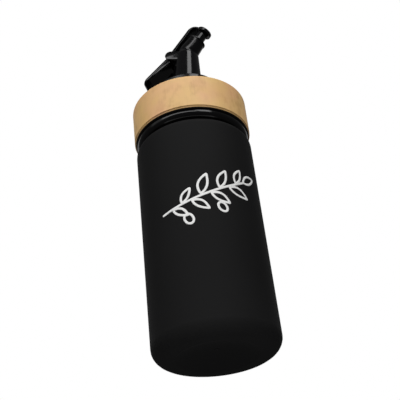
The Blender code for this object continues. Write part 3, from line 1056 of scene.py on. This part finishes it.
class CRUET_OT_lever(Operator):
    """Make the flip lever: arm, cap, hub, thumb tab and stubs"""
    bl_idname = "cruet.lever"
    bl_label = "Flip lever"

    def execute(self, context):
        s = context.scene.cruet_lever
        nozzle = context.scene.cruet_pourer
        black = plastic()
        arm = lever_arm(s, nozzle, black)
        hub = lever_pin(s.hub_radius, s.arm_half_width - 0.00015, 0.0001, black)
        neck = lever_neck(s, nozzle, black)
        tab = lever_tab(s, black)
        ribs = lever_ribs(s, black)
        cap = lever_cap(s, nozzle, black)
        stubs = lever_pin(s.stub_radius, nozzle.ear_inner + 0.0012, 0.0002, black)
        mesh = united("lever", [arm, hub, neck, tab, *ribs, cap, stubs])
        finish_piece("moulded_flip_lever", mesh, BODY_LEVER, "flip_lever")
        return {"FINISHED"}


def stem_points():
    """The sprig's stem, which rises to the right in a slight curve."""
    points = []
    for i in range(STEM_STEPS + 1):
        t = i / STEM_STEPS
        points.append((-0.0245 + 0.0460 * t, -0.0085 + 0.0105 * t + 0.0060 * t * t, 0.0))
    return points


def leaf_points():
    """The outline of a pointed leaf of unit length, with a slight lean to one side."""
    points = []
    for i in range(2 * LEAF_STEPS):
        t = i / LEAF_STEPS
        along = t if t <= 1 else 2 - t
        side = 1 if t <= 1 else -1
        belly = math.sin(math.pi * along ** 0.86) ** 0.92 if 0 < along < 1 else 0.0
        across = side * 0.175 * belly + 0.03 * math.sin(math.pi * along)
        points.append((0.10 + 0.90 * along, across, 0.0))
    return points


def fruit_mesh():
    """The olives' outlines, each a closed loop of edges."""
    points = []
    edges = []
    for across, up, long, short, turn in FRUITS:
        first = len(points)
        for i in range(FRUIT_STEPS):
            a = math.tau * i / FRUIT_STEPS
            u, v = long * math.cos(a), short * math.sin(a)
            x = across + u * math.cos(turn) - v * math.sin(turn)
            y = up + u * math.sin(turn) + v * math.cos(turn)
            points.append((x, y, 0.0))
            edges.append((first + i, first + (i + 1) % FRUIT_STEPS))
    mesh = bpy.data.meshes.new("fruit")
    mesh.from_pydata(points, edges, [])
    return mesh


class CRUET_OT_sprig(Operator):
    """Paint the white olive sprig on the bottle"""
    bl_idname = "cruet.sprig"
    bl_label = "Painted sprig"

    def execute(self, context):
        s = context.scene.cruet_sprig
        leaf_object = temporary("leaf_outline", points_mesh("leaf", leaf_points(), loop=True))
        extras_object = temporary("fruit_outline", fruit_mesh())
        stem = points_mesh("stem", stem_points())
        mesh = from_tree("sprig", stem, sprig_tree(), {
            "Leaf": leaf_object, "Extras": extras_object, "Leaves": s.leaves,
            "Leaf Length": s.leaf_length, "Spread": s.leaf_spread, "Stroke": s.stroke,
            "Ink": s.ink, "Bottle Radius": context.scene.cruet_bottle.radius,
            "Bearing": s.bearing, "Height": s.height, "Seed": s.seed,
            "Material": finish_of(painted_ink),
        })
        bpy.data.objects.remove(leaf_object)
        bpy.data.objects.remove(extras_object)
        finish_piece("painted_sprig", mesh, BODY_BOTTLE)
        return {"FINISHED"}


def soft_light(name, bearing, height, distance, width, tall, power, aim):
    """A soft rectangular light at a bearing from the front, looking at a height on the axis."""
    light = bpy.data.lights.new(name, "AREA")
    light.shape = "RECTANGLE"
    light.size = width
    light.size_y = tall
    light.energy = power
    obj = bpy.data.objects.new(name, light)
    bpy.context.scene.collection.objects.link(obj)
    place = Vector((distance * math.sin(bearing), -distance * math.cos(bearing), height))
    obj.location = place
    obj.rotation_euler = (Vector((0.0, 0.0, aim)) - place).to_track_quat("-Z", "Y").to_euler()
    return obj


class CRUET_OT_studio(Operator):
    """Set up the pale floor, the soft lights and the camera"""
    bl_idname = "cruet.studio"
    bl_label = "Studio"

    def execute(self, context):
        s = context.scene.cruet_studio
        self.make_camera(context.scene, s)
        self.make_lights(s)
        self.make_world(context.scene, s)
        self.make_floor(s)
        return {"FINISHED"}

    def make_camera(self, scene, s):
        camera = bpy.data.cameras.new("camera")
        camera.lens = s.lens
        camera.sensor_width = 36.0
        camera.clip_start = 0.01
        camera.clip_end = 20.0
        view = bpy.data.objects.new("camera", camera)
        scene.collection.objects.link(view)
        across = s.camera_distance * math.sin(s.camera_bearing)
        view.location = (across, -s.camera_distance * math.cos(s.camera_bearing), -s.camera_drop)
        aim = (
            Matrix.Rotation(s.aim_bearing, 3, "Z")
            @ Matrix.Rotation(math.radians(90.0) + s.aim_tilt, 3, "X")
            @ Matrix.Rotation(s.aim_roll, 3, "Z")
        )
        view.rotation_euler = aim.to_euler()
        scene.camera = view
        scene.view_settings.view_transform = "Standard"

    def make_lights(self, s):
        # Degrees round from the camera, height, distance, width, tall, power and height aimed at.
        softboxes = {
            "key_softbox": (31.0, 0.62, 0.55, 0.27, 0.50, s.key, 0.12),
            "fill_softbox": (-58.0, 0.50, 0.75, 0.60, 0.60, s.fill, 0.10),
            "front_strip": (-20.0, 0.485, 0.50, 0.70, 0.17, s.front, 0.13),
            "overhead_softbox": (0.0, 1.05, 0.02, 0.90, 0.90, s.overhead, 0.10),
            "base_softbox": (0.0, -0.070, 0.085, 0.30, 0.12, s.base, 0.0),
            "back_left_softbox": (-150.0, 0.45, 0.80, 0.70, 0.60, s.back, 0.10),
            "back_right_softbox": (158.0, 0.45, 0.80, 0.70, 0.60, s.back, 0.10),
        }
        for name, (turn, *sizes) in softboxes.items():
            light = soft_light(name, s.camera_bearing + math.radians(turn), *sizes)
            light.visible_camera = False
            # The overhead light would show as a wide band on the glossy pourer.
            light.visible_glossy = name != "overhead_softbox"

    def make_world(self, scene, s):
        """White behind the bottle in the picture, and dim as a light on it."""
        world = bpy.data.worlds.new("studio")
        scene.world = world
        world.use_nodes = True
        world.node_tree.nodes.clear()
        graph = Graph(world.node_tree)
        seen = graph.add("ShaderNodeLightPath").outputs["Is Camera Ray"]
        dim = graph.add("ShaderNodeBackground", {"Color": WHITE, "Strength": s.ambient})
        white = graph.add("ShaderNodeBackground", {"Color": WHITE, "Strength": 1.0})
        mixed = graph.add("ShaderNodeMixShader", {0: seen, 1: dim, 2: white})
        graph.add("ShaderNodeOutputWorld", {"Surface": mixed})

    def make_floor(self, s):
        """A pale disc under the base. It fades out far away, and it is clear from below, because
        the scene's camera looks up from under it."""
        shape = bmesh.new()
        bmesh.ops.create_circle(shape, cap_ends=True, segments=96, radius=FLOOR_RADIUS)
        bmesh.ops.translate(shape, verts=shape.verts, vec=(0.0, 0.0, FLOOR_HEIGHT))
        mesh = bpy.data.meshes.new("floor")
        shape.to_mesh(mesh)
        shape.free()
        material, graph, shader, place = new_finish("pale_floor")
        cloud = noise(graph, place, 3.0, 2.0)
        shade = ramp(graph, cloud, ((0.2, tint(s.floor, 0.985)), (0.8, tint(s.floor, 1.0))))
        graph.tree.links.new(shade, shader.inputs["Base Color"])
        shader.inputs["Roughness"].default_value = 0.6
        under = graph.add("ShaderNodeNewGeometry").outputs["Backfacing"]
        near = graph.soft_step(graph.length(place), *FLOOR_FADE)
        shown = graph.math("MULTIPLY", near, graph.rest(under))
        clear = graph.add("ShaderNodeBsdfTransparent")
        mixed = graph.add("ShaderNodeMixShader", {0: shown, 1: clear, 2: shader.outputs[0]})
        end = material.node_tree.nodes["Material Output"]
        graph.tree.links.new(mixed.outputs[0], end.inputs["Surface"])
        mesh.materials.append(material)
        floor = temporary("pale_floor", mesh)
        floor.visible_diffuse = False
        floor.visible_glossy = False
        floor.visible_shadow = False


class CRUET_PT_panel(Panel):
    """Lists the cruet's pieces"""
    bl_idname = "CRUET_PT_panel"
    bl_label = "Oil cruet"
    bl_space_type = "VIEW_3D"
    bl_region_type = "UI"
    bl_category = "Cruet"

    def draw(self, context):
        layout = self.layout
        for operator in PIECES:
            layout.operator(operator.bl_idname)
        for label, (group, kind) in GROUPS.items():
            box = layout.box()
            box.label(text=label)
            settings = getattr(context.scene, group)
            for name in kind.__annotations__:
                box.prop(settings, name)


PIECES = (
    CRUET_OT_bottle, CRUET_OT_lid, CRUET_OT_ring, CRUET_OT_pourer, CRUET_OT_lever,
    CRUET_OT_sprig, CRUET_OT_studio,
)
GROUPS = {
    "Bottle": ("cruet_bottle", CruetBottle),
    "Lid": ("cruet_lid", CruetLid),
    "Bamboo ring": ("cruet_ring", CruetRing),
    "Pour spout": ("cruet_pourer", CruetPourer),
    "Flip lever": ("cruet_lever", CruetLever),
    "Painted sprig": ("cruet_sprig", CruetSprig),
    "Finishes": ("cruet_finish", CruetFinish),
    "Studio": ("cruet_studio", CruetStudio),
}


def register():
    for _, group in GROUPS.values():
        bpy.utils.register_class(group)
    for operator in PIECES:
        bpy.utils.register_class(operator)
    bpy.utils.register_class(CRUET_PT_panel)
    for name, group in GROUPS.values():
        setattr(bpy.types.Scene, name, PointerProperty(type=group))


def unregister():
    for name, _ in GROUPS.values():
        delattr(bpy.types.Scene, name)
    bpy.utils.unregister_class(CRUET_PT_panel)
    for operator in reversed(PIECES):
        bpy.utils.unregister_class(operator)
    for _, group in reversed(list(GROUPS.values())):
        bpy.utils.unregister_class(group)


def main():
    register()
    bpy.ops.cruet.bottle()
    bpy.ops.cruet.lid()
    bpy.ops.cruet.ring()
    bpy.ops.cruet.pourer()
    bpy.ops.cruet.lever()
    bpy.ops.cruet.sprig()
    bpy.ops.cruet.studio()


if __name__ == "__main__":
    main()
